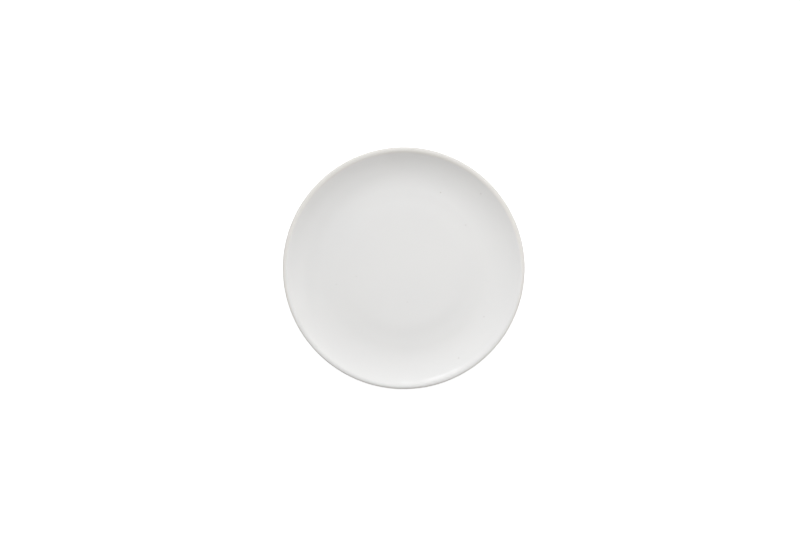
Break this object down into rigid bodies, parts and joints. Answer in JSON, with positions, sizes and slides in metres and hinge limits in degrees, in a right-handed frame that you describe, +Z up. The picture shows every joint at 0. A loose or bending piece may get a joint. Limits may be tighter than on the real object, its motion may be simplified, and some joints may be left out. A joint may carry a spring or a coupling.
{
  "type": "coupe dinner plate",
  "caption": "Round rimless dinner plate of white porcelain: flat middle, wall curving up to a round lip, glossy glaze all over and a bare foot ring to stand on.",
  "frame": {"origin": "on the table, at the centre of the foot ring", "axes": "+Z up along the plate's axis of revolution, out of the face; X and Y are alike, because the plate is round"},
  "size_m": [0.27, 0.27, 0.025],
  "materials": {
    "bare_porcelain": "bare fired porcelain, fine-grained and matte, ground smooth on the standing edge",
    "white_glaze": "glossy white glaze, slightly warm over the lip, with a few tiny specks"
  },
  "bodies": {
    "root": {"porcelain_body": "bare_porcelain", "outer_glaze": "white_glaze", "base_glaze": "white_glaze"}
  },
  "joints": []
}
